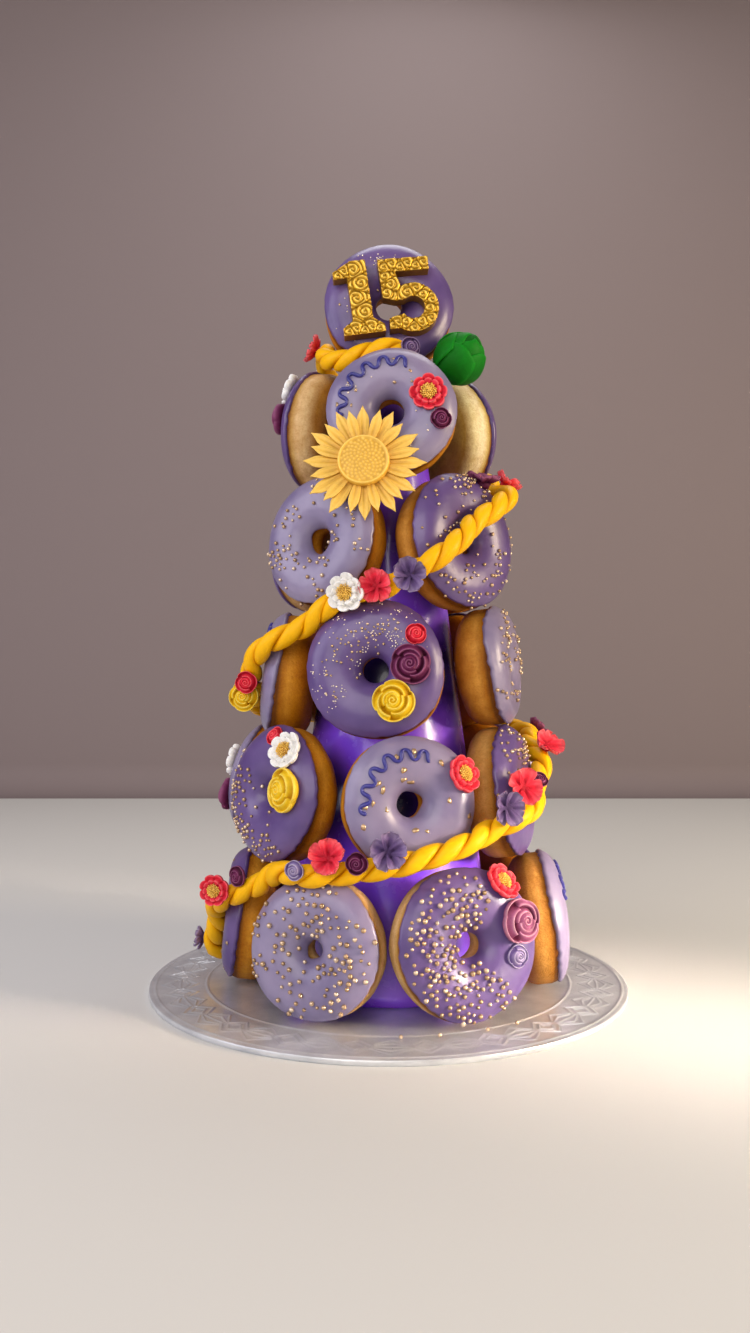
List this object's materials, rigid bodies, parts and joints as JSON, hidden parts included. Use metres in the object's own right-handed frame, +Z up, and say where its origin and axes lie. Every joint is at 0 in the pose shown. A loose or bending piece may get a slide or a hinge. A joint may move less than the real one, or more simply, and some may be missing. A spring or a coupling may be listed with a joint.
{
  "type": "doughnut tower",
  "caption": "Tiered tower of iced ring doughnuts round a cone on a foil board, dressed with a twisted sugar rope, sugar flowers, gold pearls and gold numerals.",
  "frame": {"origin": "middle of the board's underside, on the tower's axis", "axes": "+Z up the tower's axis, -Y towards the front that the numerals face"},
  "size_m": [0.305, 0.305, 0.4768],
  "materials": {
    "foil": "embossed silver foil on card",
    "film": "glossy purple film",
    "lilac": "smooth satin icing",
    "violet": "smooth satin icing",
    "dough": "golden fried dough",
    "pearl": "gold lustre sugar pearls and leaf",
    "piping": "blue piped icing",
    "rope": "satin sugar paste",
    "coral": "sugar paste",
    "plum": "sugar paste",
    "mauve": "sugar paste",
    "purple": "sugar paste",
    "orchid": "sugar paste",
    "yellow": "sugar paste",
    "white": "sugar paste",
    "green": "sugar paste",
    "sun": "sugar paste brushed with gold lustre",
    "gold": "gold lustre on moulded sugar paste"
  },
  "bodies": {
    "root": {"board": "foil", "cone": "film", "doughnut_1_1": "lilac", "doughnut_1_2": "violet", "doughnut_1_3": "lilac", "doughnut_1_4": "violet", "doughnut_1_5": "lilac", "doughnut_1_6": "violet", "doughnut_1_7": "violet", "doughnut_2_1": "violet", "doughnut_2_2": "lilac", "doughnut_2_3": "violet", "doughnut_2_4": "lilac", "doughnut_2_5": "violet", "doughnut_2_6": "lilac", "doughnut_3_1": "violet", "doughnut_3_2": "lilac", "doughnut_3_3": "violet", "doughnut_3_4": "lilac", "doughnut_3_5": "lilac", "doughnut_4_1": "lilac", "doughnut_4_2": "violet", "doughnut_4_3": "lilac", "doughnut_4_4": "violet", "doughnut_5_1": "lilac", "doughnut_5_2": "violet", "doughnut_5_3": "violet", "doughnut_6_1": "violet", "rope_length_1": "rope", "rope_length_2": "rope", "rope_length_3": "rope", "rope_length_4": "rope", "flower_top_rose": "purple", "flower_top_left": "coral", "flower_back_high": "white", "flower_right_high_plum": "plum", "flower_right_high_coral": "coral", "flower_centre_purple": "purple", "flower_centre_coral": "coral", "flower_centre_white": "white", "flower_left_coral": "coral", "flower_left_yellow": "yellow", "flower_back_low_coral": "coral", "flower_back_low_yellow": "yellow", "flower_right_low_plum": "plum", "flower_right_low_coral": "coral", "flower_right_low_rose": "plum", "flower_front_coral": "coral", "flower_front_purple": "purple", "flower_low_purple": "purple", "flower_low_plum": "plum", "flower_low_coral": "coral", "flower_low_orchid": "orchid", "flower_low_left_plum": "plum", "flower_low_left_coral": "coral", "flower_end_purple": "purple", "sunflower": "sun", "green_bud": "green", "numeral_one": "gold", "numeral_five": "gold"}
  },
  "joints": []
}
